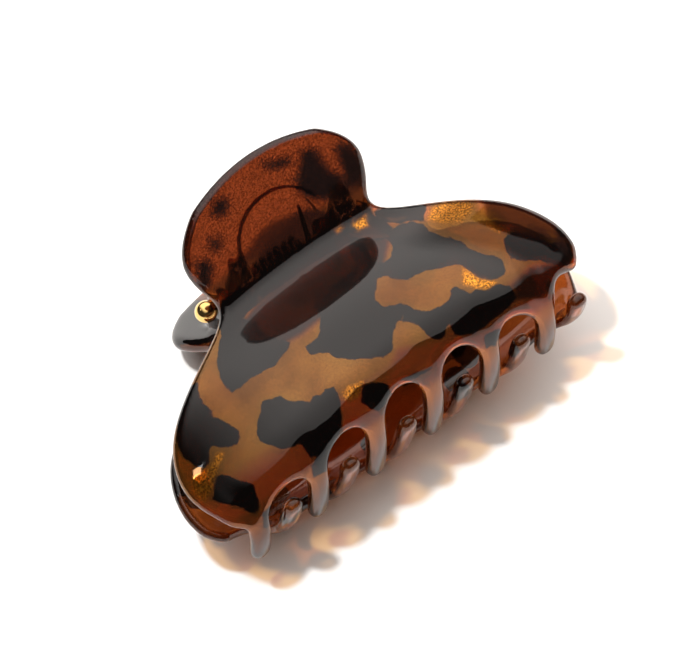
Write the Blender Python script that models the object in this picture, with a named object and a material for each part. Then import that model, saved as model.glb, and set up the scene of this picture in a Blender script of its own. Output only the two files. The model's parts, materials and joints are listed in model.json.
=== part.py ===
"""A large hair claw: two mirrored shell halves on a sprung hinge pin, lying on its back half.

Blender 4.5, metres, +Z up. X runs along the hinge pin, the teeth point to -Y, the thumb tabs to +Y.

Each half is designed as a curved middle sheet, drawn in two directions: "along" runs from the
hinge towards the teeth and "out" runs from the parting plane to the outside. The sheet is then
given its wall thickness and a full round rim. Both halves are the same moulding: the back one is
the front one turned half a turn about Y, so its teeth fall in the front one's gaps.
"""
import bmesh
import bpy
import math
import numpy as np
from collections import namedtuple
from mathutils import Matrix, Vector

MM = 0.001

# Driving dimensions, in millimetres
WALL = 2.8
RIM_RADIUS = WALL / 2
JAW_LENGTH = 89.0
DOME_POWER = 2.2

# Sections of the middle sheet from the widest line of the thumb tab to the tips of the teeth.
# along and out place the middle of the section, half_width is to the centre of the round rim,
# and dome is how far the sheet has fallen at half the jaw's length from the middle.
Section = namedtuple("Section", "along out half_width dome")
SECTIONS = (
    Section(along=-2.6, out=15.9, half_width=19.1, dome=0.0),
    Section(along=0.9, out=12.1, half_width=17.8, dome=0.0),
    Section(along=3.1, out=10.0, half_width=15.9, dome=3.0),
    Section(along=5.6, out=9.1, half_width=15.6, dome=5.5),
    Section(along=8.6, out=9.6, half_width=20.4, dome=7.5),
    Section(along=12.5, out=11.4, half_width=28.6, dome=9.5),
    Section(along=17.0, out=13.9, half_width=36.4, dome=12.7),
    Section(along=22.0, out=16.4, half_width=40.7, dome=14.2),
    Section(along=27.0, out=17.6, half_width=42.5, dome=14.0),
    Section(along=31.0, out=17.7, half_width=42.5, dome=13.6),
    Section(along=34.4, out=16.6, half_width=40.8, dome=13.0),
    Section(along=37.0, out=14.1, half_width=39.8, dome=12.0),
    Section(along=39.0, out=10.6, half_width=38.6, dome=9.5),
    Section(along=40.2, out=5.6, half_width=38.0, dome=6.0),
    Section(along=40.8, out=-0.4, half_width=37.6, dome=2.5),
    Section(along=41.0, out=-6.2, half_width=37.4, dome=0.0),
)
TAB_LENGTH = 11.7
TAB_SLOPE = math.radians(47.4)
TAB_CORNER = 0.28
TAB_ROWS = 4
BODY_ROWS = 10
FOOT_ROWS = 3
CORNER_CUT = 3.5
END_CUT = 3.0
CORNER_POWER = 6

# Teeth
TOOTH_COUNT = 6
TOOTH_PITCH = 13.3
TOOTH_WIDTH = 4.6
TOOTH_OFFSET = -TOOTH_PITCH / 4
FINGER_ROWS = 6
BODY_END = 34.8
ARCH_LEAD = 1.5
FOOT_NARROWING = 0.985
ARCH_DIP = 2.0
ARCH_DIP_AT = 30.0

# Hinge
PIN_RADIUS = 1.0
BORE_RADIUS = 1.3
LUG_EYE_RADIUS = 3.4
LUG_THICKNESS = 2.6
LUG_OUTER = 13.1
LUG_INNER = 10.2
LUG_FOOT = (-0.6, 8.4)
BALL_RADIUS = 2.2
BALL_CENTRE = 16.7
GAP = 0.3

# Torsion spring
WIRE_RADIUS = 0.55
COIL_RADIUS = 3.1
COIL_HALF_LENGTH = 5.4
COIL_TURNS = 6
COIL_SPLIT = 0.8
WIRE_SIDES = 6
POINTS_PER_TURN = 12
LEG_REACH = 12.0

# Moulded half ring on the inner face of each tab, round the end of the spring's leg
RING_RADIUS = 8.6
RING_WIRE = 0.9
RING_STEPS = 14
RING_SIDES = 6


def clear_scene():
    for old in list(bpy.data.objects):
        bpy.data.objects.remove(old, do_unlink=True)


class SmoothTable:
    """Reads smooth values between the sections, by the distance run along the sheet."""

    def __init__(self, sections):
        self.values = np.array(sections, dtype=float)
        steps = np.hypot(np.diff(self.values[:, 0]), np.diff(self.values[:, 1]))
        self.run = np.concatenate(([0.0], np.cumsum(steps)))
        self.slopes = np.gradient(self.values, self.run, axis=0)

    def at(self, run):
        index = int(np.clip(np.searchsorted(self.run, run) - 1, 0, len(self.run) - 2))
        span = self.run[index + 1] - self.run[index]
        t = (run - self.run[index]) / span
        start, end = self.values[index], self.values[index + 1]
        leave, arrive = self.slopes[index] * span, self.slopes[index + 1] * span
        if t < 0:
            return start + leave * t
        if t > 1:
            return end + arrive * (t - 1)
        rise = t * t * (3 - 2 * t)
        return start + (end - start) * rise + leave * t * (1 - t) ** 2 - arrive * t * t * (1 - t)

    def run_where_along(self, along):
        """The run at which the middle of the sheet first comes this far towards the teeth."""
        return float(np.interp(along, self.values[:, 0], self.run))


TABLE = SmoothTable(SECTIONS)


def sheet_point(run, x):
    """A point of the middle sheet, in millimetres, with the hinge pin at the origin."""
    if run < 0:
        along = SECTIONS[0].along + run * math.cos(TAB_SLOPE)
        return Vector((x, -along, SECTIONS[0].out - run * math.sin(TAB_SLOPE)))
    along, out, _, dome = TABLE.at(run)
    fall = dome * abs(2 * x / JAW_LENGTH) ** DOME_POWER
    return Vector((x, -along, out - fall))


def sheet_normal(run, x):
    """The sheet's outward normal, from two short steps on it."""
    step = 0.05
    along = sheet_point(run + step, x) - sheet_point(run - step, x)
    across = sheet_point(run, x + step) - sheet_point(run, x - step)
    return along.cross(across).normalized()


def corner_cut(x):
    """How far the foot of the jaw is drawn back at this place, which rounds its two corners."""
    edge = TABLE.at(TABLE.run_where_along(BODY_END))[2]
    return CORNER_CUT * abs(x / edge) ** CORNER_POWER


def tooth_centre(index):
    return (index - (TOOTH_COUNT - 1) / 2) * TOOTH_PITCH + TOOTH_OFFSET


def column_places():
    """How far along the pin each column of the sheet lies, at the foot of the teeth."""
    core = TOOTH_WIDTH / 2 - RIM_RADIUS
    arch = TOOTH_PITCH / 2 - core
    edge = float(TABLE.at(TABLE.run_where_along(BODY_END))[2])
    places = [-edge, edge]
    for index in range(-1, TOOTH_COUNT + 1):
        centre = tooth_centre(index)
        for angle in (0, 30, 60, 90):
            reach = TOOTH_PITCH / 2 - arch * math.sin(math.radians(angle))
            places += [centre - reach, centre + reach]
    inside = sorted({round(x, 4) for x in places if abs(x) < edge - 0.8})
    return [-edge] + inside + [edge]


def arch_depth(x):
    """How far the sheet runs at this place before the arch between two teeth cuts it."""
    core = TOOTH_WIDTH / 2 - RIM_RADIUS
    radius = TOOTH_PITCH / 2 - core
    from_gap = (x - TOOTH_OFFSET) % TOOTH_PITCH
    from_gap = min(from_gap, TOOTH_PITCH - from_gap)
    rise = radius - math.sqrt(max(radius ** 2 - from_gap ** 2, 0.0))
    start = TABLE.run_where_along(BODY_END) + ARCH_LEAD - corner_cut(x)
    if x > tooth_centre(TOOTH_COUNT - 1) + TOOTH_PITCH / 4:
        start -= END_CUT
    return start + ARCH_DIP * (x / ARCH_DIP_AT) ** 2 + rise


def half_sheet():
    """The middle sheet of one half, as places (run, x) and the faces that join them."""
    places, faces = [], []
    columns = column_places()
    fractions = [x / columns[-1] for x in columns]

    def add_row(row):
        first = len(places)
        places.extend(row)
        return list(range(first, first + len(row)))

    rows = []
    for step in range(TAB_ROWS, 0, -1):
        high = step / TAB_ROWS
        wide = SECTIONS[0].half_width * (1 - TAB_CORNER * high ** 2)
        tab_row = [(-TAB_LENGTH * high * (1 - TAB_CORNER * a * a), wide * a) for a in fractions]
        rows.append(add_row(tab_row))
    body_run = TABLE.run_where_along(BODY_END)
    for step in range(BODY_ROWS + 1):
        share = step / BODY_ROWS
        row = []
        for a in fractions:
            run = body_run * share - corner_cut(a * columns[-1]) * share ** 3
            row.append((run, TABLE.at(run)[2] * a))
        rows.append(add_row(row))
    foot_columns = [columns[0] * FOOT_NARROWING] + columns[1:-1] + [columns[-1] * FOOT_NARROWING]
    arches = [(arch_depth(x), x) for x in foot_columns]
    for step in range(1, FOOT_ROWS + 1):
        share = step / FOOT_ROWS
        between = [(a + (c - a) * share, b + (d - b) * share) for (a, b), (c, d) in zip(row, arches)]
        rows.append(add_row(between))
    foot = rows[-1]
    for upper, lower in zip(rows, rows[1:]):
        for i in range(len(columns) - 1):
            faces.append((upper[i], upper[i + 1], lower[i + 1], lower[i]))

    tip = TABLE.run[-1]
    core = TOOTH_WIDTH / 2 - RIM_RADIUS
    for index in range(TOOTH_COUNT):
        left, right = (
            min(range(len(columns)), key=lambda i, side=side: abs(columns[i] - tooth_centre(index) - side))
            for side in (-core, core)
        )
        above = (foot[left], foot[right])
        start = places[above[0]][0]
        for step in range(1, FINGER_ROWS + 1):
            run = start + (tip - start) * step / FINGER_ROWS
            below = add_row([(run, columns[left]), (run, columns[right])])
            faces.append((above[0], above[1], below[1], below[0]))
            above = below
    return places, faces


def thick_shell(places, faces, rim_steps=4):
    """Gives the sheet its wall and a full round rim, as one closed bmesh in metres."""
    bm = bmesh.new()
    middles = [sheet_point(*place) for place in places]
    normals = [sheet_normal(*place) for place in places]
    outer = [bm.verts.new((m + n * RIM_RADIUS) * MM) for m, n in zip(middles, normals)]
    inner = [bm.verts.new((m - n * RIM_RADIUS) * MM) for m, n in zip(middles, normals)]
    follow = {}
    for face in faces:
        bm.faces.new([outer[i] for i in face])
        bm.faces.new([inner[i] for i in reversed(face)])
        for a, b in zip(face, face[1:] + face[:1]):
            follow.setdefault(a, set()).add(b)
    rim_next = {a: b for a, ends in follow.items() for b in ends if a not in follow.get(b, ())}
    rim_last = {b: a for a, b in rim_next.items()}
    arcs = {}
    for i, after in rim_next.items():
        before = rim_last[i]
        tangent = (middles[after] - middles[i]).normalized() + (middles[i] - middles[before]).normalized()
        outward = normals[i].cross(tangent).normalized()
        arc = [outer[i]]
        for step in range(1, rim_steps):
            turn = math.pi * step / rim_steps
            offset = normals[i] * math.cos(turn) + outward * math.sin(turn)
            arc.append(bm.verts.new((middles[i] + offset * RIM_RADIUS) * MM))
        arcs[i] = arc + [inner[i]]
    for i, after in rim_next.items():
        for k in range(rim_steps):
            bm.faces.new((arcs[after][k], arcs[i][k], arcs[i][k + 1], arcs[after][k + 1]))
    bmesh.ops.recalc_face_normals(bm, faces=bm.faces)
    return bm


def new_object(name, bm, material):
    mesh = bpy.data.meshes.new(name)
    bm.to_mesh(mesh)
    bm.free()
    mesh.materials.append(material)
    obj = bpy.data.objects.new(name, mesh)
    bpy.context.scene.collection.objects.link(obj)
    return obj


def new_material(name, colour, roughness, metallic):
    material = bpy.data.materials.new(name)
    material.use_nodes = True
    shader = material.node_tree.nodes["Principled BSDF"]
    shader.inputs["Base Color"].default_value = (*colour, 1.0)
    shader.inputs["Roughness"].default_value = roughness
    shader.inputs["Metallic"].default_value = metallic
    material.diffuse_color = (*colour, 1.0)
    return material


def lug_outline():
    """The side view of a hinge lug: a round eye whose foot follows the waist of the shell."""
    first, last = LUG_FOOT
    outline = []
    for step in range(7):
        along = first + (last - first) * step / 6
        point = sheet_point(TABLE.run_where_along(along), LUG_OUTER)
        outline.append((point.y, point.z))
    for step in range(13):
        turn = math.radians(20 - 220 * step / 12)
        outline.append((-LUG_EYE_RADIUS * math.cos(turn), LUG_EYE_RADIUS * math.sin(turn)))
    return outline


def plate(outline, x_low, x_high):
    """A flat plate across X from a side view in millimetres."""
    bm = bmesh.new()
    low = [bm.verts.new(Vector((x_low, y, z)) * MM) for y, z in outline]
    face = bm.faces.new(low)
    made = bmesh.ops.extrude_face_region(bm, geom=[face])
    moved = [v for v in made["geom"] if isinstance(v, bmesh.types.BMVert)]
    bmesh.ops.translate(bm, verts=moved, vec=((x_high - x_low) * MM, 0, 0))
    bmesh.ops.recalc_face_normals(bm, faces=bm.faces)
    return bm


def rod(radius, x_low, x_high, sides=20):
    turns = [math.tau * k / sides for k in range(sides)]
    circle = [(radius * math.cos(turn), radius * math.sin(turn)) for turn in turns]
    return plate(circle, x_low, x_high)


def tube(path, radius, sides):
    """A tube of one wire radius round a path in millimetres, with flat ends."""
    bm = bmesh.new()
    rings = []
    side = None
    for before, point, after in zip([path[0]] + path, path, path[1:] + [path[-1]]):
        heading = (after - before).normalized()
        if side is None:
            side = heading.orthogonal().normalized()
        side = (side - heading * side.dot(heading)).normalized()
        up = heading.cross(side)
        ring = []
        for k in range(sides):
            turn = math.tau * k / sides
            ring.append(bm.verts.new((point + (side * math.cos(turn) + up * math.sin(turn)) * radius) * MM))
        rings.append(ring)
    for a, b in zip(rings, rings[1:]):
        for k in range(sides):
            bm.faces.new((a[k], a[(k + 1) % sides], b[(k + 1) % sides], b[k]))
    bm.faces.new(rings[0])
    bm.faces.new(rings[-1])
    bmesh.ops.recalc_face_normals(bm, faces=bm.faces)
    return bm


def combine(target, tool, operation):
    """Applies one exact Boolean to target and removes the tool."""
    modifier = target.modifiers.new("combine", "BOOLEAN")
    modifier.operation = operation
    modifier.solver = "EXACT"
    modifier.object = tool
    graph = bpy.context.evaluated_depsgraph_get()
    mesh = bpy.data.meshes.new_from_object(target.evaluated_get(graph))
    target.modifiers.clear()
    target.data = mesh
    bpy.data.objects.remove(tool, do_unlink=True)


def tab_ring():
    """The moulded half ring on the inner face of the tab, standing on the line where the tab begins."""
    foot = TABLE.run_where_along(SECTIONS[1].along)
    path = []
    for step in range(RING_STEPS + 1):
        turn = math.pi * step / RING_STEPS
        run = foot - RING_RADIUS * math.sin(turn)
        x = RING_RADIUS * math.cos(turn)
        path.append(sheet_point(run, x) - sheet_normal(run, x) * RIM_RADIUS)
    return tube(path, RING_WIRE, RING_SIDES)


def make_half(name, material):
    """One half: the shell with its two hinge lugs and the ring on its tab, drilled for the pin."""
    half = new_object(name, thick_shell(*half_sheet()), material)
    combine(half, new_object("ring", tab_ring(), material), "UNION")
    for centre in (LUG_OUTER, -LUG_INNER):
        low, high = centre - LUG_THICKNESS / 2, centre + LUG_THICKNESS / 2
        combine(half, new_object("lug", plate(lug_outline(), low, high), material), "UNION")
        combine(half, new_object("drill", rod(BORE_RADIUS, low - 1, high + 1), material), "DIFFERENCE")
    return half


def make_pin(material):
    """The hinge pin: a rod with a ball at each end, turned round X."""
    ball_angle = math.asin(PIN_RADIUS / BALL_RADIUS)
    profile = [(-BALL_CENTRE - BALL_RADIUS, 0.0)]
    for step in range(1, 9):
        turn = math.pi - (math.pi - ball_angle) * step / 8
        profile.append((-BALL_CENTRE + BALL_RADIUS * math.cos(turn), BALL_RADIUS * math.sin(turn)))
    profile += [(-x, r) for x, r in reversed(profile)]
    bm = bmesh.new()
    verts = [bm.verts.new(Vector((x, 0, r)) * MM) for x, r in profile]
    edges = [bm.edges.new(pair) for pair in zip(verts, verts[1:])]
    bmesh.ops.spin(bm, geom=edges, cent=(0, 0, 0), axis=(1, 0, 0), angle=math.tau, steps=16, use_merge=True)
    bmesh.ops.remove_doubles(bm, verts=bm.verts, dist=1e-6)
    bmesh.ops.recalc_face_normals(bm, faces=bm.faces)
    return new_object("hinge_pin", bm, material)


def tab_direction():
    """The tab's slope away from the hinge, and the way that its outer face looks."""
    slope = Vector((0, math.cos(TAB_SLOPE), math.sin(TAB_SLOPE)))
    return slope, Vector((0, -slope.z, slope.y))


def spring_paths():
    """The torsion spring's two paths: the coil with its lower leg, and the last turn with the upper leg.

    Each leg leaves the coil along the tab and ends just short of the tab's inner face. The coil's
    angle is measured in the side view, from the teeth round over the top.
    """
    slope, face = tab_direction()
    leave = math.atan2(face.z, -face.y)
    turns = COIL_TURNS + leave / math.pi
    inner_face = (sheet_point(0, 0) - Vector()).dot(face) - RIM_RADIUS - GAP - WIRE_RADIUS

    def coil_point(turn):
        angle = turn * math.tau - leave
        x = COIL_HALF_LENGTH * (2 * turn / turns - 1)
        return Vector((x, -COIL_RADIUS * math.cos(angle), COIL_RADIUS * math.sin(angle)))

    def coil(first, last):
        count = round((last - first) * POINTS_PER_TURN)
        return [coil_point(first + (last - first) * k / count) for k in range(count + 1)]

    end = face * inner_face + slope * LEG_REACH
    upper_end = Vector((COIL_HALF_LENGTH, end.y, end.z))
    lower_end = Vector((-COIL_HALF_LENGTH, end.y, -end.z))
    split = turns - COIL_SPLIT
    part_way = GAP / (COIL_RADIUS * math.tau)
    return [lower_end] + coil(0, split), coil(split + part_way, turns) + [upper_end]


def lay_down(hinge, points):
    """Turns and lifts the clip to lie on the floor, touching it with the back tab and the back jaw."""
    low_points = [Vector((0, p.y, -p.z)) for p in points]
    low, high = 0.0, math.radians(20)
    for _ in range(40):
        tilt = (low + high) / 2
        turned = [Matrix.Rotation(tilt, 3, "X") @ p for p in low_points]
        tab_low = min(p.z for p in turned if p.y > 0)
        jaw_low = min(p.z for p in turned if p.y < 0)
        low, high = (low, tilt) if tab_low > jaw_low else (tilt, high)
    turned += [Matrix.Rotation(tilt, 3, "X") @ p for p in points]
    middle = (max(p.y for p in turned) + min(p.y for p in turned)) / 2
    hinge.rotation_euler = (tilt, 0, 0)
    hinge.location = (0, -middle, -min(tab_low, jaw_low))
    print(f"tilt {math.degrees(tilt):.2f} hinge {tuple(round(v, 5) for v in hinge.location)}")


def main():
    clear_scene()
    tortoiseshell = new_material("tortoiseshell_plastic", (0.16, 0.055, 0.015), 0.12, 0.0)
    brass = new_material("polished_brass", (0.78, 0.52, 0.22), 0.2, 1.0)
    steel = new_material("spring_steel", (0.45, 0.44, 0.42), 0.3, 1.0)
    front = make_half("front_half", tortoiseshell)
    back = bpy.data.objects.new("back_half", front.data)
    bpy.context.scene.collection.objects.link(back)
    back.rotation_euler = (0, math.pi, 0)
    pin = make_pin(brass)
    coil_path, leg_path = spring_paths()
    coil = new_object("spring_coil", tube(coil_path, WIRE_RADIUS, WIRE_SIDES), steel)
    leg = new_object("spring_leg", tube(leg_path, WIRE_RADIUS, WIRE_SIDES), steel)

    hinge = bpy.data.objects.new("hinge", None)
    bpy.context.scene.collection.objects.link(hinge)
    for piece in (front, back, pin, coil, leg):
        piece.parent = hinge
    lay_down(hinge, [vertex.co for vertex in front.data.vertices])


main()
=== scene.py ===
# %% [markdown]
# # A tortoiseshell hair claw, dressed for the camera
#
# The clip's solids already exist: they were built at their real size, and they arrive here as plain
# triangles. This lesson keeps their shapes and places, and gives them what the eye judges: a smooth
# moulded skin, a tortoiseshell plastic with depth, a polished pin, a wire spring, and the light of
# a small photo studio. All lengths are in metres unless a name says mm or px.

# %% Load the solids
import json
import math

import bpy
import numpy as np
from mathutils import Matrix, Vector
from mathutils.bvhtree import BVHTree


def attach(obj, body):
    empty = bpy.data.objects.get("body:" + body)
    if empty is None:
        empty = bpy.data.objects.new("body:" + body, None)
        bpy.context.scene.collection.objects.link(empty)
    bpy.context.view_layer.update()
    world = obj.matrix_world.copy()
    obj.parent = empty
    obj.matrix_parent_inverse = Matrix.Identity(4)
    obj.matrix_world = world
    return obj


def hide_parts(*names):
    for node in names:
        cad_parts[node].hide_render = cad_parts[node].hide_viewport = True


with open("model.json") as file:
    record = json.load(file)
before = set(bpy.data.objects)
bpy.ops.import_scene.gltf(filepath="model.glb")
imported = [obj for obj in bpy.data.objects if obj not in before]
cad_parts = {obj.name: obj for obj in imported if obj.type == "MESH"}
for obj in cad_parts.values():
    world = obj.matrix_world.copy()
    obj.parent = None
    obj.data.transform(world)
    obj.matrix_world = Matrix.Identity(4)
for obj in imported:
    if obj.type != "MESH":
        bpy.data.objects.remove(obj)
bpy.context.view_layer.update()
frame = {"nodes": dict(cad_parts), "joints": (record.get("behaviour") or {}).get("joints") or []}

MM = 0.001

# %% [markdown]
# ## The camera
#
# The photo was taken from above and from the left, with a long lens: the teeth's pitch hardly
# shrinks towards the far end. The camera is placed by three angles round the point that it aims at,
# which lies in the middle of the picture.

# %% Camera
PHOTO_WIDTH_PX, PHOTO_HEIGHT_PX = 698, 658
CAMERA_AZIMUTH = math.radians(36.03)
CAMERA_ELEVATION = math.radians(58.19)
CAMERA_ROLL = math.radians(-3.70)
CAMERA_DISTANCE = 1.4286
FOCAL_PX = 7836
SENSOR_MM = 36.0
FAR_CLIP = 20
HINGE = Vector(frame["joints"][0]["pos_m"])
AIM_RIGHT_OF_HINGE = 13.0 * MM
AIM_BELOW_HINGE = 12.36 * MM

towards_camera = Vector((
    -math.sin(CAMERA_AZIMUTH) * math.cos(CAMERA_ELEVATION),
    -math.cos(CAMERA_AZIMUTH) * math.cos(CAMERA_ELEVATION),
    math.sin(CAMERA_ELEVATION),
))
level_right = Vector((math.cos(CAMERA_AZIMUTH), -math.sin(CAMERA_AZIMUTH), 0))
level_up = towards_camera.cross(level_right)
right = level_right * math.cos(CAMERA_ROLL) + level_up * math.sin(CAMERA_ROLL)
up = towards_camera.cross(right)
aim = HINGE + right * AIM_RIGHT_OF_HINGE - up * AIM_BELOW_HINGE

camera_data = bpy.data.cameras.new("camera")
camera = bpy.data.objects.new("camera", camera_data)
bpy.context.scene.collection.objects.link(camera)
camera_data.sensor_width = SENSOR_MM
camera_data.lens = FOCAL_PX * SENSOR_MM / PHOTO_WIDTH_PX
camera_data.clip_end = FAR_CLIP
eye = aim + towards_camera * CAMERA_DISTANCE
turn = Matrix((right, up, towards_camera)).transposed()
camera.matrix_world = Matrix.Translation(eye) @ turn.to_4x4()
bpy.context.scene.camera = camera
print(f"camera at {tuple(round(v, 3) for v in eye)}, lens {camera_data.lens:.0f} mm")

# %% [markdown]
# ## Small helpers
#
# Colours are picked as sRGB hex values, as a paint chart gives them, and Blender's shaders want them
# linear. A material is a graph of nodes, so one function adds a node with its settings and links.

# %% Helpers for materials


def linear(hex_colour):
    """An sRGB hex colour as linear red, green, blue and alpha."""
    channels = [int(hex_colour[i:i + 2], 16) / 255 for i in (1, 3, 5)]
    return (*[c / 12.92 if c <= 0.04045 else ((c + 0.055) / 1.055) ** 2.4 for c in channels], 1.0)


def add_node(tree, kind, inputs=(), **settings):
    """A node with its settings; inputs pairs each socket with a value or with another node's output."""
    node = tree.nodes.new(kind)
    for name, value in settings.items():
        setattr(node, name, value)
    for socket, value in dict(inputs).items():
        if isinstance(value, bpy.types.NodeSocket):
            tree.links.new(value, node.inputs[socket])
        else:
            node.inputs[socket].default_value = value
    return node


def new_material(name):
    """An empty material of this name, and its graph of nodes."""
    material = bpy.data.materials.new(name)
    material.use_nodes = True
    material.node_tree.nodes.clear()
    return material, material.node_tree


print("white in linear light:", linear("#FFFFFF"), "and middle grey:", linear("#808080"))

# %% [markdown]
# ## Smooth skins from the solids
#
# A moulded part has no facets. Each solid is copied, its loose triangles are merged into one skin
# and paired back into quads, and a Subdivision Surface rounds them. It could be smooth shaded alone,
# but then the facets still show in its outline and break up every reflection.
#
# On the two big halves long thin triangles would pinch the flat faces. So a voxel Remesh lays an even
# net over them, fine enough to keep the ring on the tab, and a few rounds of Smooth take off its
# steps. The metal pieces are even enough without it. Each copy stays where its solid is, because its
# place is in its mesh, and it stands for the solid from then on.

# %% Helper: a smooth copy
MERGE_DISTANCE = 0.002 * MM
FLAT_ANGLE = math.radians(0.5)
QUAD_FOLD = math.radians(50)
QUAD_SKEW = math.radians(60)
POLISH_FACTOR = 0.5
POLISH_ROUNDS = 5


def smooth_copy(node, body, levels, voxel=None):
    """A smooth skin made from a CAD node, riding on its body in the node's stead."""
    solid = frame["nodes"][node]
    piece = solid.copy()
    piece.data = solid.data.copy()
    piece.parent = None
    piece.name = node + "_skin"
    for key in list(piece.keys()):
        del piece[key]
    bpy.context.scene.collection.objects.link(piece)
    bpy.ops.object.select_all(action="DESELECT")
    bpy.context.view_layer.objects.active = piece
    piece.select_set(True)
    bpy.ops.object.mode_set(mode="EDIT")
    bpy.ops.mesh.select_all(action="SELECT")
    bpy.ops.mesh.remove_doubles(threshold=MERGE_DISTANCE)
    bpy.ops.mesh.beautify_fill(angle_limit=FLAT_ANGLE)
    bpy.ops.mesh.tris_convert_to_quads(face_threshold=QUAD_FOLD, shape_threshold=QUAD_SKEW)
    bpy.ops.object.mode_set(mode="OBJECT")
    skin = piece.modifiers.new("skin", "SUBSURF")
    skin.levels = skin.render_levels = levels
    bpy.ops.object.modifier_apply(modifier="skin")
    if voxel:
        even = piece.modifiers.new("even", "REMESH")
        even.mode = "VOXEL"
        even.voxel_size = voxel
        bpy.ops.object.modifier_apply(modifier="even")
        polish = piece.modifiers.new("polish", "SMOOTH")
        polish.factor = POLISH_FACTOR
        polish.iterations = POLISH_ROUNDS
        bpy.ops.object.modifier_apply(modifier="polish")
    bpy.ops.object.shade_smooth()
    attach(piece, body)
    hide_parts(node)
    print(f"{piece.name}: {len(piece.data.polygons)} faces")
    return piece


# %% [markdown]
# The clip has five pieces. The two halves are one moulding made twice. The pin goes through the lugs
# of both and stays with the back half. The spring's coil stays with the back half too, and its upper
# leg pushes on the front one, so they are two pieces with a small cut between them.

# %% The five skins
SKIN_VOXEL = 0.37 * MM

front_skin = smooth_copy("front_half", "front", 2, SKIN_VOXEL)
back_skin = smooth_copy("back_half", "back", 2, SKIN_VOXEL)
pin_skin = smooth_copy("hinge_pin", "back", 1)
coil_skin = smooth_copy("spring_coil", "back", 2)
leg_skin = smooth_copy("spring_leg", "front", 2)
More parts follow.
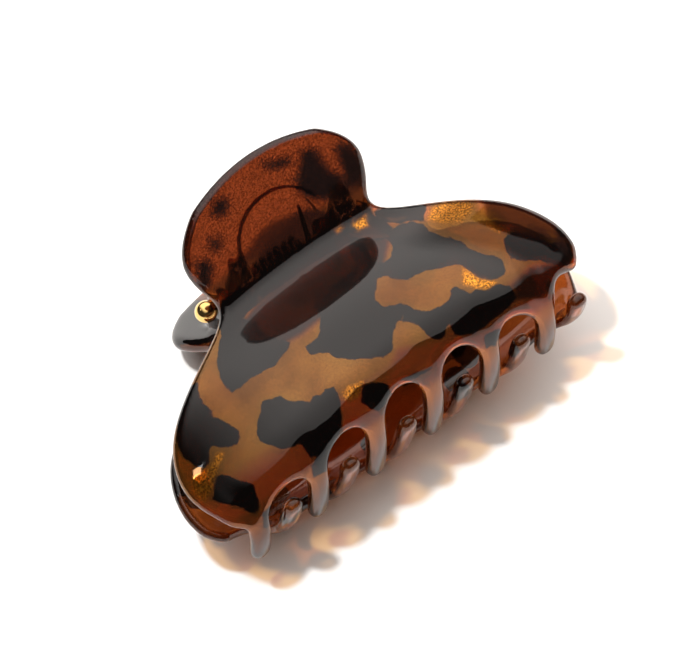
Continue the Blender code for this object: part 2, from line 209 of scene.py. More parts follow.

# %% [markdown]
# ## Where the dark chips lie
#
# Tortoiseshell acetate is pressed from amber and dark chips, so each clip has its own blotches. Noise
# alone could make them, but not these ones. Their outlines are charted here, in the photo's own
# pixels, the way a decorator squares up a drawing. The chips go through the sheet, so an outline is
# carried straight through the wall.

# %% Chart of the dark chips
DARK_CHIPS = {
    "under the tab's mirror image, left": (
        (222, 335), (228, 322), (240, 318), (255, 322), (262, 332), (275, 338), (291, 342), (288, 350), (281, 358),
        (275, 365), (262, 371), (250, 380), (240, 388), (232, 391), (226, 387), (220, 378), (217, 366), (217, 350)),
    "left end": (
        (197, 383), (200, 398), (203, 404), (212, 410), (212, 418), (222, 420), (232, 425), (240, 431), (241, 437),
        (238, 445), (225, 447), (212, 447), (210, 452), (209, 462), (205, 468), (195, 467), (183, 458), (176, 440),
        (178, 420), (184, 400), (190, 388)),
    "above the second tooth": (
        (260, 405), (262, 400), (272, 399), (280, 395), (288, 400), (300, 402), (310, 402), (313, 396), (320, 395),
        (326, 389), (333, 388), (338, 395), (341, 405), (342, 418), (340, 435), (335, 442), (330, 450), (318, 456),
        (310, 458), (306, 450), (300, 444), (290, 448), (280, 448), (268, 446), (260, 441), (257, 433), (258, 420),
        (261, 412)),
    "above the first tooth": (
        (211, 484), (214, 478), (222, 475), (235, 478), (245, 482), (253, 485), (256, 493), (259, 500), (260, 510),
        (255, 514), (248, 512), (243, 508), (232, 507), (222, 503), (210, 500), (214, 495), (214, 488)),
    "second tooth": ((311, 466), (318, 455), (325, 452), (331, 448), (330, 465), (326, 472), (314, 476)),
    "first tooth": ((262, 512), (272, 503), (280, 492), (276, 512), (268, 530), (262, 528)),
    "above the third arch": (
        (362, 386), (372, 381), (380, 382), (388, 386), (390, 395), (385, 405), (378, 411), (370, 408), (362, 402),
        (360, 393)),
    "third tooth": ((385, 408), (395, 405), (402, 400), (402, 412), (394, 424), (386, 426)),
    "over the fourth arch": ((402, 380), (418, 371), (434, 366), (426, 373), (412, 381)),
    "middle of the jaw": (
        (305, 347), (311, 355), (322, 352), (329, 351), (336, 358), (347, 360), (365, 359), (384, 357), (392, 352),
        (393, 343), (396, 322), (403, 320), (405, 304), (400, 302), (394, 306), (384, 306), (374, 301), (376, 288),
        (372, 262), (366, 244), (358, 243), (352, 241), (347, 246), (353, 256), (357, 264), (350, 274), (338, 283),
        (324, 291), (316, 298), (314, 308), (320, 316), (320, 330), (318, 337), (311, 343)),
    "right of the middle": (
        (403, 303), (409, 304), (414, 309), (420, 311), (431, 311), (440, 308), (446, 303), (450, 299), (451, 291),
        (455, 287), (463, 290), (470, 293), (477, 289), (485, 290), (492, 287), (500, 284), (508, 286), (514, 290),
        (517, 297), (513, 303), (500, 315), (488, 325), (475, 334), (462, 337), (455, 335), (452, 327), (450, 322),
        (446, 326), (444, 335), (440, 341), (433, 340), (425, 334), (419, 326), (410, 322), (402, 321)),
    "fifth tooth": ((483, 335), (495, 330), (500, 330), (496, 345), (486, 348)),
    "along the crest": (
        (362, 262), (372, 262), (383, 262), (390, 258), (393, 250), (390, 242), (384, 238), (390, 230), (400, 224),
        (412, 221), (424, 224), (430, 231), (440, 236), (452, 238), (462, 242), (470, 249), (478, 253), (492, 256),
        (501, 259), (505, 266), (504, 274), (498, 279), (488, 280), (478, 277), (470, 271), (462, 265), (450, 265),
        (438, 269), (425, 270), (416, 276), (407, 280), (396, 278), (388, 276), (378, 279), (375, 290), (374, 300),
        (362, 302)),
    "right end": (
        (503, 240), (507, 234), (518, 232), (530, 233), (540, 236), (550, 243), (562, 240), (570, 243), (573, 255),
        (568, 265), (560, 267), (550, 263), (540, 261), (525, 261), (512, 258), (505, 250)),
    "rear, left": ((372, 212), (385, 222), (400, 224), (412, 221), (424, 222), (428, 203), (400, 206)),
    "right end, small": ((556, 226), (564, 228), (566, 236), (560, 240), (554, 234)),
    "waist": (
        (221, 300), (262, 268), (300, 242), (330, 224), (352, 208), (366, 200), (372, 212), (385, 222), (394, 228),
        (384, 240), (368, 238), (345, 245), (300, 272), (262, 300), (236, 325), (222, 336), (218, 320)),
    "crease under the tab": (
        (250, 272), (260, 250), (272, 234), (288, 220), (300, 209), (314, 207), (326, 212), (340, 206), (352, 202),
        (352, 212), (330, 232), (310, 246), (280, 262), (262, 274)),
    "top of the tab": (
        (300, 150), (308, 147), (318, 150), (322, 160), (328, 168), (340, 172), (346, 182), (340, 196), (326, 202),
        (306, 200), (296, 190), (292, 180), (296, 172), (297, 160)),
    "right of the tab": (
        (338, 140), (350, 143), (362, 155), (368, 172), (364, 185), (350, 190), (345, 200), (336, 196), (336, 185),
        (342, 175), (336, 160), (334, 150)),
    "tab rim": ((262, 162), (275, 158), (288, 156), (290, 162), (280, 168), (268, 170)),
    "tab, upper left": ((212, 200), (226, 196), (229, 206), (224, 216), (210, 217)),
    "tab, left": ((208, 238), (220, 236), (222, 246), (216, 252), (208, 250)),
    "tab, lower left": ((194, 262), (206, 256), (212, 266), (210, 285), (204, 292), (196, 286)),
    "tab, foot": ((232, 268), (242, 262), (248, 266), (244, 274), (233, 276)),
}
BACK_HALF_CHIPS = {
    "back tab": ((160, 305), (200, 300), (235, 310), (235, 335), (200, 345), (160, 345)),
    "left rim": ((160, 440), (176, 440), (182, 480), (178, 505), (160, 500)),
    "inside the left end": ((178, 478), (200, 482), (222, 500), (210, 512), (190, 508), (180, 495)),
}
print(len(DARK_CHIPS), "dark chips on the front half and", len(BACK_HALF_CHIPS), "on the back half")

# %% [markdown]
# Three more charts say how the amber varies. Pearly chips hold so many flakes that they look golden.
# In the darker zones the amber is browner: at the rear right and right of the fifth tooth it is only
# darker, at the foot of the tab it is painted shade in the crease, and where the polished jaw mirrors
# the dark tab it is a painted dark reflection, which shows well only over a dark ground. In the rusty
# zones the amber holds few flakes and looks red; beside the arches and right of the fifth tooth that
# red is painted light coming through the wall, and where the jaw mirrors the tab it is the same painted
# reflection.

# %% Charts of the amber
PEARL_CHIPS = {
    "rear of the crest": ((426, 220), (432, 208), (445, 203), (470, 202), (472, 210), (462, 221), (445, 223)),
    "rear right": ((482, 221), (490, 217), (497, 221), (506, 229), (500, 233), (490, 229)),
    "waist": ((352, 224), (358, 216), (366, 216), (369, 226), (358, 233)),
    "waist, small": ((333, 230), (340, 225), (343, 228), (337, 234)),
    "left corner": (
        (193, 492), (193, 478), (203, 472), (212, 464), (216, 453), (224, 453), (218, 468), (214, 478), (212, 490),
        (205, 501), (199, 499)),
    "under the crest": ((462, 268), (470, 272), (480, 279), (497, 281), (488, 290), (474, 288), (464, 284)),
    "beside the third arch": ((342, 392), (350, 386), (362, 382), (360, 395), (350, 401), (343, 399)),
}
DARKER_AND_SHADED_ZONES = {
    # painted shade: the crease at the foot of the tab, inside the ring, is darkened
    "painted shade in the crease at the tab's root": (
        (205, 291), (228, 270), (246, 250), (256, 234), (272, 220), (296, 212), (318, 208), (340, 192), (366, 174),
        (370, 200), (345, 216), (300, 245), (262, 270), (225, 300)),
    "rear, right": (
        (478, 194), (540, 200), (570, 214), (586, 246), (562, 245), (540, 240), (518, 236), (502, 232), (486, 218)),
    "right of the fifth tooth": ((512, 285), (530, 268), (560, 262), (572, 272), (540, 300), (516, 300)),
    # painted reflection: the dark mirror image of the tab in the polished jaw
    "painted dark reflection of the tab": (
        (236, 330), (262, 296), (300, 264), (345, 236), (372, 226), (390, 240), (384, 264), (352, 294), (302, 334),
        (275, 349), (258, 342)),
}
# painted light: beside the arches and right of the fifth tooth this red stands for light coming through the steep
# wall; at the rear it is only redder amber
RUST_AND_PAINTED_LIGHT_ZONES = {
    "rear, left": ((366, 205), (380, 195), (430, 195), (428, 219), (400, 222), (380, 226)),
    "rear, right": (
        (473, 190), (530, 190), (570, 205), (590, 245), (575, 262), (570, 243), (550, 238), (530, 232), (507, 232),
        (500, 222), (480, 212)),
    "beside the second arch": ((340, 400), (360, 398), (385, 408), (352, 430), (338, 440)),
    "beside the fourth arch": ((398, 350), (440, 341), (452, 328), (470, 338), (400, 385), (388, 380)),
    "right of the fifth tooth": ((512, 285), (530, 268), (560, 262), (566, 270), (530, 300), (516, 300)),
    # painted reflection: the dark mirror image of the tab, also made redder
    "painted dark reflection of the tab": (
        (236, 330), (262, 296), (300, 264), (345, 236), (372, 226), (390, 240), (384, 264), (352, 294), (302, 334),
        (275, 349), (258, 342)),
}
print(len(PEARL_CHIPS), "pearly chips,", len(DARKER_AND_SHADED_ZONES), "deep zones and", len(RUST_AND_PAINTED_LIGHT_ZONES), "rusty ones")

# %% [markdown]
# ## From the chart to the skin
#
# To use a chart, each vertex is projected into the photo through the camera above, and its distance
# to each outline is measured there. A distance blends smoothly over a face, so a material can draw
# a crisp edge with it, and roughen that edge with noise. A mask of zeros and ones would show the
# mesh's own corners instead.

# %% Helpers for charts
PX_TO_MM = CAMERA_DISTANCE / FOCAL_PX / MM


def photo_pixels(places):
    """Where the camera sees these points, as columns and rows of the photo."""
    offsets = places - np.array(eye)
    depth = -offsets @ np.array(towards_camera)
    columns = PHOTO_WIDTH_PX / 2 + FOCAL_PX * (offsets @ np.array(right)) / depth
    rows = PHOTO_HEIGHT_PX / 2 - FOCAL_PX * (offsets @ np.array(up)) / depth
    return np.column_stack((columns, rows))


def outline_distance(points, outline):
    """Distance in pixels from each point to an outline, below zero inside it."""
    nearest = np.full(len(points), np.inf)
    inside = np.zeros(len(points), dtype=bool)
    corners = np.array(outline, dtype=float)
    for a, b in zip(corners, np.roll(corners, -1, axis=0)):
        share = np.clip((points - a) @ (b - a) / ((b - a) @ (b - a)), 0, 1)
        nearest = np.minimum(nearest, np.linalg.norm(points - a - share[:, None] * (b - a), axis=1))
        spans = (a[1] > points[:, 1]) != (b[1] > points[:, 1])
        if a[1] != b[1]:
            crossing = a[0] + (points[:, 1] - a[1]) * (b[0] - a[0]) / (b[1] - a[1])
            inside ^= spans & (points[:, 0] < crossing)
    return np.where(inside, -nearest, nearest)


def charted_distance(pixels, chart):
    """Signed distance in mm to the nearest outline of a chart."""
    return np.min([outline_distance(pixels, outline) for outline in chart.values()], axis=0) * PX_TO_MM


def ramp(values, start, full):
    """Zero at start, one at full, and straight in between."""
    return np.clip((values - start) / (full - start), 0, 1)


def store(piece, name, values):
    """Keeps one number for each vertex, which a material can read by this name."""
    attribute = piece.data.attributes.new(name, "FLOAT", "POINT")
    attribute.data.foreach_set("value", np.asarray(values, dtype=np.float32))


print(f"one pixel of the photo is {PX_TO_MM:.2f} mm on the clip")

# %% [markdown]
# On the front half every vertex gets four numbers: the distances to the nearest dark chip and to the
# nearest pearly one, the share of the tab, and the kind of wall. In the tab the chips lie deeper under
# the amber than in the jaw, so their edges are softer there, and the same share lays the tab's painted
# shade. The wall runs from 1, full of pearl, through 0, rusty, to -1 at the roots of the teeth and -2
# at their tips. Low on the jaw, near the teeth and the crease, the rusty wall's red is painted light
# coming through the steep wall.

# %% Numbers for the front half
CREASE_LEFT_PX = np.array((209.0, 291.0))
CREASE_RIGHT_PX = np.array((366.0, 178.0))
TEETH_LEFT_PX = np.array((285.0, 485.0))
TEETH_RIGHT_PX = np.array((575.0, 285.0))
SOFT_ABOVE_CREASE_MM = (-1.0, 1.0)
PEARLY_BELOW_CREASE_MM = (-4.5, -6.0)
PEARLY_ABOVE_TEETH_MM = (4.0, 8.0)
TOOTH_ROOT_MM = (0.75, -0.75)
TOOTH_TIP_MM = (-2.0, -7.0)
INSIDE_ZONE_MM = (0.75, -0.75)


def height_above(pixels, left, right_end):
    """Distance in mm above the straight line between two pixels."""
    along = (right_end - left) / np.linalg.norm(right_end - left)
    return (pixels - left) @ np.array((along[1], -along[0])) * PX_TO_MM


front_places = np.array([vertex.co for vertex in front_skin.data.vertices])
front_pixels = photo_pixels(front_places)
above_crease_mm = height_above(front_pixels, CREASE_LEFT_PX, CREASE_RIGHT_PX)
above_teeth_mm = height_above(front_pixels, TEETH_LEFT_PX, TEETH_RIGHT_PX)
rust_and_painted_light_share = ramp(charted_distance(front_pixels, RUST_AND_PAINTED_LIGHT_ZONES), *INSIDE_ZONE_MM)
# low on the jaw, near the teeth and the crease, a low pearly share paints a red glow of light through the wall
pearly_and_painted_glow_share = (
    ramp(above_teeth_mm, *PEARLY_ABOVE_TEETH_MM) * ramp(above_crease_mm, *PEARLY_BELOW_CREASE_MM)
    * (1 - rust_and_painted_light_share))
tooth_share = ramp(above_teeth_mm, *TOOTH_ROOT_MM) + ramp(above_teeth_mm, *TOOTH_TIP_MM)
store(front_skin, "chip_distance", charted_distance(front_pixels, DARK_CHIPS))
store(front_skin, "pearl_distance", charted_distance(front_pixels, PEARL_CHIPS))
# the tab's share softens its chip edges and also lays the tab's painted shade
store(front_skin, "tab_soft_chips_and_painted_shade", ramp(above_crease_mm, *SOFT_ABOVE_CREASE_MM))
store(front_skin, "wall_zone", np.where(tooth_share > 0, -tooth_share, pearly_and_painted_glow_share))
print(f"{np.mean(tooth_share > 0):.0%} of the front half is teeth, {np.mean(pearly_and_painted_glow_share > 0.5):.0%} is pearly")

# %% [markdown]
# The back half hardly shows in the photo, so most of its chips are scattered over its skin by a
# seeded random draw, at the sizes of the charted ones. Each is a bar that lies along the skin, and
# the distance to the nearest bar joins the charted distance.

# %% Numbers for the back half
SCATTER_SEED = 7
BACK_CHIPS = 24
CHIP_LENGTH = 8.0 * MM
CHIP_LENGTH_SHARES = (0.4, 1.6)
CHIP_HALF_WIDTHS = (1.5 * MM, 3.2 * MM)
FAR_MM = 12.0
BACK_WALL_ZONE = 0.15
LEAST_SQUARE = 1e-12
dice = np.random.default_rng(SCATTER_SEED)


def scattered_bars(piece, count):
    """Bars of random size, laid along the skin from evenly drawn places."""
    places = np.array([vertex.co for vertex in piece.data.vertices])
    bars = []
    for _ in range(count):
        start = places[dice.integers(len(places))]
        heading = dice.normal(size=3)
        length = CHIP_LENGTH * dice.uniform(*CHIP_LENGTH_SHARES)
        reach = start + heading / np.linalg.norm(heading) * length
        end = places[np.argmin(np.linalg.norm(places - reach, axis=1))]
        bars.append((start, end, dice.uniform(*CHIP_HALF_WIDTHS)))
    return bars


def bar_distance(places, bars):
    """Signed distance in mm to the nearest bar."""
    nearest = np.full(len(places), FAR_MM)
    for start, end, half_width in bars:
        along = end - start
        share = np.clip((places - start) @ along / max(along @ along, LEAST_SQUARE), 0, 1)
        gap = np.linalg.norm(places - (start + share[:, None] * along), axis=1) - half_width
        nearest = np.minimum(nearest, gap / MM)
    return nearest


back_bars = scattered_bars(back_skin, BACK_CHIPS)
back_places = np.array([vertex.co for vertex in back_skin.data.vertices])
back_pixels = photo_pixels(back_places)
back_distance = np.minimum(bar_distance(back_places, back_bars), charted_distance(back_pixels, BACK_HALF_CHIPS))
store(back_skin, "chip_distance", back_distance)
store(back_skin, "pearl_distance", np.full(len(back_places), FAR_MM))
store(back_skin, "tab_soft_chips_and_painted_shade", np.zeros(len(back_places)))
store(back_skin, "wall_zone", np.full(len(back_places), BACK_WALL_ZONE))
print(f"dark share of the back half {np.mean(back_distance < 0):.0%}")

# %% [markdown]
# ## How much plastic light has to cross
#
# Dyed plastic is darker where it is thicker, as at the foot of the tab and in the lugs. A shader could
# absorb light inside a volume, but that is slow and the exported model would lose it. So a ray is sent
# inwards from every vertex, the distance to the far side is kept, and each vertex is evened out with
# its neighbours. The darker zones are added on top as extra depth: painted shade in the crease at the
# foot of the tab, a painted dark reflection of the tab in the jaw, and plain darker amber at the rear
# right and right of the fifth tooth.

# %% Depth of the plastic
RAY_START = 0.02 * MM
DEEPEST = 16.0 * MM
EVENING_ROUNDS = 8
DARKER_AND_SHADED_EXTRA_MM = 8.0


def plastic_depth(piece):
    """How far the plastic goes on under each vertex, in mm, evened out over its neighbours."""
    mesh = piece.data
    corners = [vertex.co.copy() for vertex in mesh.vertices]
    tree = BVHTree.FromPolygons(corners, [list(face.vertices) for face in mesh.polygons])
    depths = np.zeros(len(corners))
    for index, vertex in enumerate(mesh.vertices):
        hit = tree.ray_cast(vertex.co - vertex.normal * RAY_START, -vertex.normal, DEEPEST)
        depths[index] = (hit[3] if hit[0] else DEEPEST) / MM
    ends = np.zeros(len(mesh.edges) * 2, dtype=np.int64)
    mesh.edges.foreach_get("vertices", ends)
    one, other = ends[0::2], ends[1::2]
    links = np.bincount(ends, minlength=len(corners))
    for _ in range(EVENING_ROUNDS):
        total = np.bincount(one, depths[other], len(corners)) + np.bincount(other, depths[one], len(corners))
        depths = (depths + total / links) / 2
    return depths


front_depths_and_shade = plastic_depth(front_skin)
# this extra depth is painted shade in the crease, a painted dark reflection of the tab, and plain darker amber
# elsewhere
front_depths_and_shade += DARKER_AND_SHADED_EXTRA_MM * ramp(charted_distance(front_pixels, DARKER_AND_SHADED_ZONES), *INSIDE_ZONE_MM)
back_depths = plastic_depth(back_skin)
# on the front half this depth also holds the painted shade and the painted reflection
store(front_skin, "plastic_depth", front_depths_and_shade)
store(back_skin, "plastic_depth", back_depths)
print(f"{np.median(front_depths_and_shade):.1f} and {np.median(back_depths):.1f} mm of plastic under the middle vertex")

# %% [markdown]
# ## Tortoiseshell acetate
#
# Cellulose acetate is a clear plastic with an index of about 1.48. Amber dye and fine pearl flakes
# colour it, and the dark chips are nearly opaque. After moulding it is tumbled to a full polish.
# What that gives the eye: a sharp reflection in a clear skin, a warm red glow where light comes
# through the wall, and a sandy golden grain where the flakes catch the light.
#
# First come the masks, which say where each colour goes. Two noises of different size shift the
# distance to the chips, so their edges wander as torn ones do. In the tab the flakes scatter the
# edge as well. One mask is 1 in amber and 0 in a chip, the other is 1 in a pearly chip.

# %% Tortoiseshell: masks
CHIP_WARP_MM = ((2.4, 0.6), (0.5, 0.14))
WARP_DETAIL = 1.5
FLAKE_MM = 0.32
FLAKE_DETAIL = 2.0
CRISP_EDGE_MM = 0.16
SOFT_EDGE_MM = 1.1
SANDY_EDGE_MM = 4.0
PEARL_EDGE_MM = 0.6
NOISE_MIDDLE = 0.5

tortoiseshell, tree = new_material("tumbled tortoiseshell acetate")
place = add_node(tree, "ShaderNodeTexCoord").outputs["Object"]
chip_gap, pearl_gap, tab_softness_and_shade, zone, depth_and_shade_mm = (
    add_node(tree, "ShaderNodeAttribute", attribute_name=name).outputs["Fac"]
    for name in ("chip_distance", "pearl_distance", "tab_soft_chips_and_painted_shade", "wall_zone", "plastic_depth"))
for size_mm, depth_mm in CHIP_WARP_MM:
    noise = add_node(
        tree, "ShaderNodeTexNoise", {"Vector": place, "Scale": 1 / (size_mm * MM), "Detail": WARP_DETAIL})
    shift = add_node(tree, "ShaderNodeMath", {0: noise.outputs["Fac"], 1: -NOISE_MIDDLE}, operation="ADD")
    chip_gap, pearl_gap = (
        add_node(tree, "ShaderNodeMath", {0: shift.outputs[0], 1: 2 * depth_mm, 2: gap},
                 operation="MULTIPLY_ADD").outputs[0]
        for gap in (chip_gap, pearl_gap))
flakes = add_node(
    tree, "ShaderNodeTexNoise",
    {"Vector": place, "Scale": 1 / (FLAKE_MM * MM), "Detail": FLAKE_DETAIL}).outputs["Fac"]
sand = add_node(tree, "ShaderNodeMath", {0: flakes, 1: -NOISE_MIDDLE}, operation="ADD").outputs[0]
sand_in_tab = add_node(tree, "ShaderNodeMath", {0: sand, 1: tab_softness_and_shade}, operation="MULTIPLY").outputs[0]
sandy_gap = add_node(
    tree, "ShaderNodeMath", {0: sand_in_tab, 1: SANDY_EDGE_MM, 2: chip_gap}, operation="MULTIPLY_ADD").outputs[0]
edge = add_node(
    tree, "ShaderNodeMapRange",
    {"Value": tab_softness_and_shade, "To Min": CRISP_EDGE_MM, "To Max": SOFT_EDGE_MM}).outputs["Result"]
inner_edge = add_node(tree, "ShaderNodeMath", {0: edge, 1: -1.0}, operation="MULTIPLY").outputs[0]
amber_only = add_node(
    tree, "ShaderNodeMapRange", {"Value": sandy_gap, "From Min": inner_edge, "From Max": edge},
    interpolation_type="SMOOTHSTEP").outputs["Result"]
pearl_mask = add_node(
    tree, "ShaderNodeMapRange", {"Value": pearl_gap, "From Min": PEARL_EDGE_MM, "From Max": -PEARL_EDGE_MM},
    interpolation_type="SMOOTHSTEP").outputs["Result"]
amber_mask = add_node(tree, "ShaderNodeMath", {0: amber_only, 1: pearl_mask}, operation="MAXIMUM").outputs[0]
print("masks for chips and pearl:", len(tree.nodes), "nodes")

# %% [markdown]
# The amber isn't one colour. It drifts slowly between two shades, as the chips of the sheet did when
# they were pressed. It is redder where it holds few flakes; low on the jaw, beside the arches and right
# of the fifth tooth that red is painted light coming through the steep wall. It is brown at the teeth
# and darker at their tips, and golden in a pearly chip. The tab's red brown is painted shade for its
# side that faces away from the lamps and is lit through from behind. Each Mix node lays one of these
# over the last by its mask, and the flakes then lighten and darken the result like grains of sand.
# Real flakes are smaller than a pixel here, so they are drawn as coarse as they need to show.

# %% Tortoiseshell: colours
AMBER_PALE = "#A8742F"
AMBER_DRIFT = "#86541B"
DRIFT_MM = 12.0
DRIFT_DETAIL = 3.0
DRIFT_RANGE = (0.35, 0.65)
# painted light: red amber for light coming through the steep wall low on the jaw, and redder amber at the rear
RUST_AND_PAINTED_GLOW_AMBER = "#B8602A"
TOOTH_AMBER = "#A9652F"
TIP_AMBER = "#4A2008"
# painted shade: the tab's dark red brown stands for its side facing away from the lamps, lit through from behind
TAB_AMBER_PAINTED_SHADE = "#682B12"
PEARL_GOLD = "#C98227"
CHIP_DARK = "#160B09"
FLAKE_RANGE = (0.38, 0.66)
TAB_GRAIN_SHARE = 0.7
GRAIN_DARKEST = (0.88, 0.35)
GRAIN_LIGHTEST = (1.12, 2.0)

pearl_and_painted_glow_zone = add_node(tree, "ShaderNodeClamp", {"Value": zone}).outputs["Result"]
tooth = add_node(tree, "ShaderNodeMapRange", {"Value": zone, "From Min": 0.0, "From Max": -1.0}).outputs["Result"]
tip = add_node(tree, "ShaderNodeMapRange", {"Value": zone, "From Min": -1.0, "From Max": -2.0}).outputs["Result"]
drift_noise = add_node(
    tree, "ShaderNodeTexNoise", {"Vector": place, "Scale": 1 / (DRIFT_MM * MM), "Detail": DRIFT_DETAIL})
drift = add_node(
    tree, "ShaderNodeMapRange",
    {"Value": drift_noise.outputs["Fac"], "From Min": DRIFT_RANGE[0], "From Max": DRIFT_RANGE[1]}).outputs["Result"]
amber = add_node(
    tree, "ShaderNodeMix", {"Factor": drift, "A": linear(AMBER_PALE), "B": linear(AMBER_DRIFT)},
    data_type="RGBA").outputs["Result"]
# where the pearl share is low this lays the red painted glow
amber = add_node(
    tree, "ShaderNodeMix", {"Factor": pearl_and_painted_glow_zone, "A": linear(RUST_AND_PAINTED_GLOW_AMBER), "B": amber},
    data_type="RGBA").outputs["Result"]
# the tab's share lays the painted shade of the tab
for mask, colour in (
        (tooth, TOOTH_AMBER), (tip, TIP_AMBER), (tab_softness_and_shade, TAB_AMBER_PAINTED_SHADE), (pearl_mask, PEARL_GOLD)):
    amber = add_node(
        tree, "ShaderNodeMix", {"Factor": mask, "A": amber, "B": linear(colour)}, data_type="RGBA").outputs["Result"]
tab_grain = add_node(tree, "ShaderNodeMath", {0: tab_softness_and_shade, 1: TAB_GRAIN_SHARE}, operation="MULTIPLY").outputs[0]
grain_share = add_node(tree, "ShaderNodeMath", {0: tab_grain, 1: pearl_mask}, operation="MAXIMUM").outputs[0]
darkest, lightest = (
    add_node(tree, "ShaderNodeMapRange", {"Value": grain_share, "To Min": faint, "To Max": strong}).outputs["Result"]
    for faint, strong in (GRAIN_DARKEST, GRAIN_LIGHTEST))
grain = add_node(
    tree, "ShaderNodeMapRange",
    {"Value": flakes, "From Min": FLAKE_RANGE[0], "From Max": FLAKE_RANGE[1],
     "To Min": darkest, "To Max": lightest}).outputs["Result"]
sandy_amber = add_node(tree, "ShaderNodeVectorMath", {0: amber, "Scale": grain}, operation="SCALE").outputs[0]
blotched = add_node(
    tree, "ShaderNodeMix", {"Factor": amber_mask, "A": linear(CHIP_DARK), "B": sandy_amber},
    data_type="RGBA").outputs["Result"]
print("colours of the sheet:", len(tree.nodes), "nodes")

# %% [markdown]
# Thick plastic takes a deep brown, and the same brown paints the shade in the crease at the tab's foot
# and the dark reflection of the tab in the jaw. The surface is mostly clear, and pearl is a share of
# metal under it, because flakes mirror light in their own colour. The roots of the teeth hold such
# flakes too.
# The gloss is one uniform low roughness, because a tumbled skin has no texture of its own.
#
# A clear shader throws a black shadow unless caustics are traced, which is slow and noisy. So rays
# that look for a light pass straight through, tinted amber by each surface that they cross, and the
# table shows the amber glow and the dark chips' shadows.

# %% Tortoiseshell: surface
ACETATE_IOR = 1.48
POLISH_ROUGHNESS = 0.04
CLEAR_SHARE = 0.9
THICK_FROM_MM, THICK_TO_MM = 3.4, 11.0
THICK_AND_SHADE_AMBER = "#260F08"
THICK_SHARE = 0.9
PEARL_SHARE = 0.34
PEARL_PATCH_SHARE = 0.3
TOOTH_PEARL = 0.8
WALL_TINT = "#94743C"
TOOTH_TINT = "#E1C289"

# this brown also lays the painted shade in the crease and the painted dark reflection of the tab
deep_and_shade_share = add_node(
    tree, "ShaderNodeMapRange",
    {"Value": depth_and_shade_mm, "From Min": THICK_FROM_MM, "From Max": THICK_TO_MM, "To Max": THICK_SHARE},
    interpolation_type="SMOOTHSTEP").outputs["Result"]
deepened_and_shaded = add_node(
    tree, "ShaderNodeMix", {"Factor": deep_and_shade_share, "A": blotched, "B": linear(THICK_AND_SHADE_AMBER)},
    data_type="RGBA").outputs["Result"]
tooth_root = add_node(tree, "ShaderNodeMath", {0: tooth, 1: tip}, operation="SUBTRACT").outputs[0]
tooth_pearl = add_node(tree, "ShaderNodeMath", {0: tooth_root, 1: TOOTH_PEARL}, operation="MULTIPLY").outputs[0]
flaky = add_node(tree, "ShaderNodeMath", {0: pearl_and_painted_glow_zone, 1: tooth_pearl}, operation="MAXIMUM").outputs[0]
even_pearl = add_node(tree, "ShaderNodeMath", {0: flaky, 1: PEARL_SHARE}, operation="MULTIPLY").outputs[0]
all_pearl = add_node(
    tree, "ShaderNodeMath", {0: pearl_mask, 1: PEARL_PATCH_SHARE, 2: even_pearl},
    operation="MULTIPLY_ADD").outputs[0]
pearl = add_node(tree, "ShaderNodeMath", {0: all_pearl, 1: amber_mask}, operation="MULTIPLY").outputs[0]
skin_shader = add_node(tree, "ShaderNodeBsdfPrincipled", {
    "Base Color": deepened_and_shaded, "Metallic": pearl, "Transmission Weight": CLEAR_SHARE,
    "Roughness": POLISH_ROUGHNESS, "IOR": ACETATE_IOR}).outputs["BSDF"]
amber_tint = add_node(
    tree, "ShaderNodeMix", {"Factor": pearl_and_painted_glow_zone, "A": linear(TOOTH_TINT), "B": linear(WALL_TINT)},
    data_type="RGBA").outputs["Result"]
shadow_tint = add_node(
    tree, "ShaderNodeMix", {"Factor": amber_mask, "A": linear(CHIP_DARK), "B": amber_tint},
    data_type="RGBA").outputs["Result"]
shadow_shader = add_node(tree, "ShaderNodeBsdfTransparent", {"Color": shadow_tint}).outputs["BSDF"]
shadow_ray = add_node(tree, "ShaderNodeLightPath").outputs["Is Shadow Ray"]
mixed = add_node(tree, "ShaderNodeMixShader", {0: shadow_ray, 1: skin_shader, 2: shadow_shader})
add_node(tree, "ShaderNodeOutputMaterial", {"Surface": mixed.outputs["Shader"]})

for half in (front_skin, back_skin):
    half.data.materials.clear()
    half.data.materials.append(tortoiseshell)
print("tortoiseshell on both halves:", len(tree.nodes), "nodes")

# %% [markdown]
# ## Brass and spring steel
#
# The pin is brass, turned, polished and plated to a bright gold tone. The spring is drawn wire, greyer
# and duller, with fine marks from the die. Both are full metals with the default index, and they
# differ in colour and in roughness, which a small noise varies as handling does. A single function
# makes both, because only these values differ.

# %% Metals


def make_metal(name, colour, mark_mm, mark_detail, roughness_range):
    """A bare metal whose roughness varies over marks of this size."""
    material, tree = new_material(name)
    place = add_node(tree, "ShaderNodeTexCoord").outputs["Object"]
    marks = add_node(
        tree, "ShaderNodeTexNoise", {"Vector": place, "Scale": 1 / (mark_mm * MM), "Detail": mark_detail})
    roughness = add_node(
        tree, "ShaderNodeMapRange",
        {"Value": marks.outputs["Fac"], "To Min": roughness_range[0], "To Max": roughness_range[1]})
    shader = add_node(tree, "ShaderNodeBsdfPrincipled", {
        "Base Color": linear(colour), "Metallic": 1.0, "Roughness": roughness.outputs["Result"]})
    add_node(tree, "ShaderNodeOutputMaterial", {"Surface": shader.outputs["BSDF"]})
    return material


# Polished and plated: it gives the eye a small bright mirror with the room in it.
brass = make_metal("gold plated brass", "#E8C27A", mark_mm=0.8, mark_detail=3.0, roughness_range=(0.05, 0.16))
# Drawn through a die and left bare: it gives the eye a soft grey sheen along the wire.
steel = make_metal("drawn spring steel", "#A9A39A", mark_mm=0.3, mark_detail=4.0, roughness_range=(0.22, 0.42))
for piece, metal in ((pin_skin, brass), (coil_skin, steel), (leg_skin, steel)):
    piece.data.materials.clear()
    piece.data.materials.append(metal)
    print(metal.name, "on", piece.name)

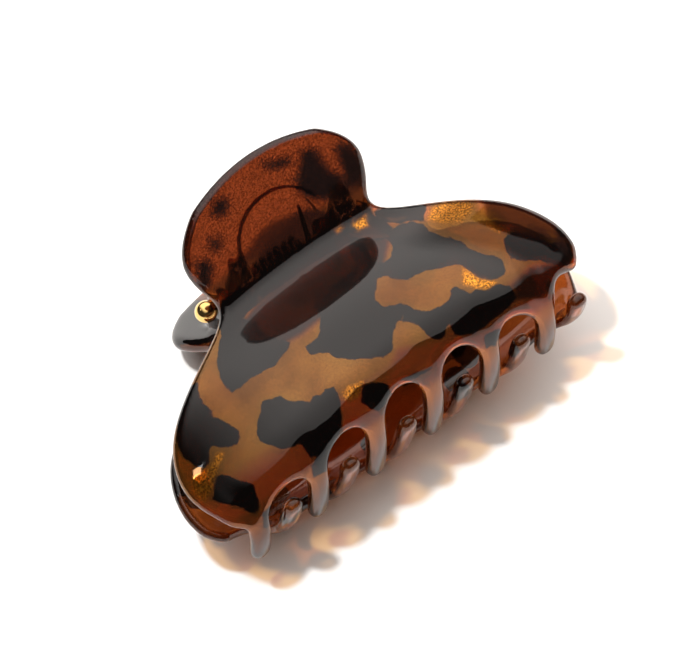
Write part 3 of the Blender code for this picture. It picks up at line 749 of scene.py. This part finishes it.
# %% [markdown]
# ## The table
#
# The photo has a plain white table. It is matt, as painted board is, and gives the eye a soft clean
# shadow with no reflection in it. It isn't part of the clip, so it is staged.

# %% Table
TABLE_SIZE = 1.6
TABLE_WHITE = "#F4F3F1"
TABLE_ROUGHNESS = 0.9

bpy.ops.object.select_all(action="DESELECT")
bpy.ops.mesh.primitive_plane_add(size=TABLE_SIZE, location=(0, 0, 0))
floor = bpy.context.object
floor.name = "floor"
table_paint, paint_tree = new_material("matt white painted board")
paint = add_node(paint_tree, "ShaderNodeBsdfPrincipled", {
    "Base Color": linear(TABLE_WHITE), "Roughness": TABLE_ROUGHNESS})
add_node(paint_tree, "ShaderNodeOutputMaterial", {"Surface": paint.outputs["BSDF"]})
floor.data.materials.append(table_paint)
print("table of", TABLE_SIZE, "m")

# %% [markdown]
# ## The light
#
# One very large soft panel hangs over the clip. Its near edge shows as the straight line across the
# jaw where the grey veil ends, so its place is known: it stands 56 degrees up in front of the clip.
# Veils fade towards the ends of the real jaw, so the panel's own light fades along both its sides.
# A second, small and strong light high up on the left throws the shadow. It isn't seen in the gloss,
# because the photo shows no such spot. A third, weak one makes the highlight at the left corner.

# %% Helper: a soft light


def add_soft_light(name, width, height, radiance, place, facing):
    """A rectangular lamp of this radiance in watts per square metre and steradian."""
    data = bpy.data.lights.new(name, "AREA")
    data.shape = "RECTANGLE"
    data.size, data.size_y = width, height
    data.energy = radiance * width * height * math.pi
    lamp = bpy.data.objects.new(name, data)
    lamp.location = place
    lamp.rotation_euler = facing.to_track_quat("-Z", "Y").to_euler()
    bpy.context.scene.collection.objects.link(lamp)
    return lamp


# %% Overhead panel
PANEL_HEIGHT = 0.60
PANEL_LOW = Vector((-1.0, -0.67, 1.0)) * PANEL_HEIGHT
PANEL_HIGH = Vector((3.4, 2.8, 1.0)) * PANEL_HEIGHT
PANEL_RADIANCE = 2.0
PANEL_WARMTH = "#FFF8F3"
# For each fade: the axis, where it starts and ends in panel heights, and the light left at each end.
PANEL_FADES = (
    ("Y", (-0.67, 0.1), (0.5, 1.0)),
    ("X", (-1.0, -0.1), (0.0, 1.0)),
    ("X", (1.3, 2.2), (1.0, 0.25)),
)

panel_middle = (PANEL_LOW + PANEL_HIGH) / 2
panel_span = PANEL_HIGH - PANEL_LOW
panel = add_soft_light(
    "overhead panel", panel_span.x, panel_span.y, PANEL_RADIANCE, panel_middle, Vector((0, 0, -1)))
panel.data.color = linear(PANEL_WARMTH)[:3]
panel.data.use_nodes = True
panel_tree = panel.data.node_tree
panel_place = add_node(panel_tree, "ShaderNodeNewGeometry").outputs["Position"]
panel_axes = add_node(panel_tree, "ShaderNodeSeparateXYZ", {0: panel_place})
strength = 1.0
for axis, (start, end), (light_at_start, light_at_end) in PANEL_FADES:
    fade = add_node(
        panel_tree, "ShaderNodeMapRange",
        {"Value": panel_axes.outputs[axis], "From Min": start * PANEL_HEIGHT, "From Max": end * PANEL_HEIGHT,
         "To Min": light_at_start, "To Max": light_at_end}, interpolation_type="SMOOTHSTEP").outputs["Result"]
    strength = add_node(panel_tree, "ShaderNodeMath", {0: strength, 1: fade}, operation="MULTIPLY").outputs[0]
panel_tree.links.new(strength, panel_tree.nodes["Emission"].inputs["Strength"])
print(f"panel of {panel_span.x:.2f} x {panel_span.y:.2f} m, {PANEL_HEIGHT} m up")

# %% Small lights and the room
LAMP_DISTANCE = 1.0
KEY_DIRECTION = Vector((-0.26, 0.10, 1.0)).normalized()
KEY_SIZE = 0.07
KEY_RADIANCE = 560.0
CORNER_DIRECTION = Vector((-0.62, 0.45, 0.64)).normalized()
CORNER_SIZE = 0.07
CORNER_RADIANCE = 8.0
ROOM_COLOUR = "#E0DCD8"
ROOM_STRENGTH = 0.06

key = add_soft_light(
    "key", KEY_SIZE, KEY_SIZE, KEY_RADIANCE, KEY_DIRECTION * LAMP_DISTANCE, -KEY_DIRECTION)
key.visible_glossy = False
key.visible_transmission = False
add_soft_light(
    "corner lamp", CORNER_SIZE, CORNER_SIZE, CORNER_RADIANCE, CORNER_DIRECTION * LAMP_DISTANCE, -CORNER_DIRECTION)
room = bpy.data.worlds.new("dim studio")
room.use_nodes = True
room.node_tree.nodes["Background"].inputs["Color"].default_value = linear(ROOM_COLOUR)
room.node_tree.nodes["Background"].inputs["Strength"].default_value = ROOM_STRENGTH
bpy.context.scene.world = room
bpy.context.scene.view_settings.view_transform = "Standard"
print(len(bpy.data.lights), "lights")
